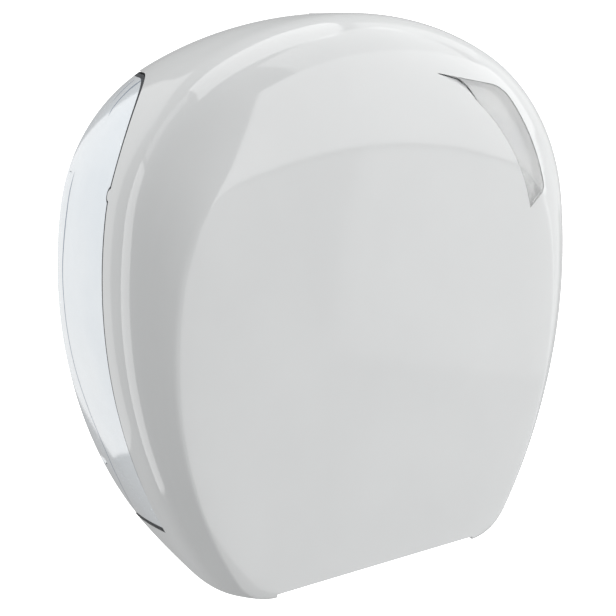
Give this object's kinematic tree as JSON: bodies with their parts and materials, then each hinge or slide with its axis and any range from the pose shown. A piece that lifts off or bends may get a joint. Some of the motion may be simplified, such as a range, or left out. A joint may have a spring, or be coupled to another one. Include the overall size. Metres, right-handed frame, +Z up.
{
  "type": "jumbo toilet roll dispenser",
  "caption": "Wall dispenser for a jumbo toilet roll: domed white cover hinged at its lower edge, key lock on top, crescent window, clear side casings, spinning hub and serrated outlet.",
  "frame": {"origin": "centre of the four wall fixings on the wall face, which is also on the roll axis", "axes": "+X to the right as seen from the front, +Y into the wall, +Z up"},
  "size_m": [0.3056, 0.13, 0.325],
  "materials": {
    "cover_white": "high gloss moulded white ABS",
    "plate_white": "moulded white ABS, satin inside",
    "inner_white": "satin moulded white plastic",
    "clear_blue": "clear, faintly blue moulded plastic",
    "clear_grey": "clear, faintly grey moulded plastic",
    "acetal": "turned natural acetal",
    "dark_plastic": "dark moulded plastic",
    "felt": "pressed grey felt",
    "steel": "zinc plated steel",
    "zinc": "die-cast zinc"
  },
  "bodies": {
    "wall_unit": {"wall_plate": "plate_white", "side_casing_left": "clear_blue", "side_casing_right": "clear_blue", "hinge_pin_left": "steel", "hinge_pin_right": "steel", "roll_spindle": "inner_white", "spindle_screws": "steel", "brake_washer": "felt", "retaining_washer": "steel", "retaining_screw": "steel", "latch_keeper": "inner_white", "keeper_screws": "steel"},
    "hub": {"roll_hub": "inner_white", "hub_bush_rear": "acetal", "hub_bush_front": "acetal"},
    "cover": {"cover_shell": "cover_white", "window_lens": "clear_grey", "tear_strip": "cover_white", "lock_housing": "cover_white", "lock_nut": "inner_white"},
    "lock": {"lock_barrel": "dark_plastic", "latch_cam": "zinc", "cam_screw": "steel"}
  },
  "joints": [
    {"name": "cover_hinge", "type": "hinge", "parent": "wall_unit", "child": "cover", "pos_m": [0, -0.007, -0.1655], "axis": [1, 0, 0], "range_deg": [0, 85]},
    {"name": "hub_spin", "type": "hinge", "parent": "wall_unit", "child": "hub", "pos_m": [0, -0.06, 0], "axis": [0, -1, 0], "continuous": true},
    {"name": "lock_turn", "type": "hinge", "parent": "cover", "child": "lock", "pos_m": [0, -0.067, 0.14], "axis": [0, 0, 1], "range_deg": [0, 90]}
  ]
}
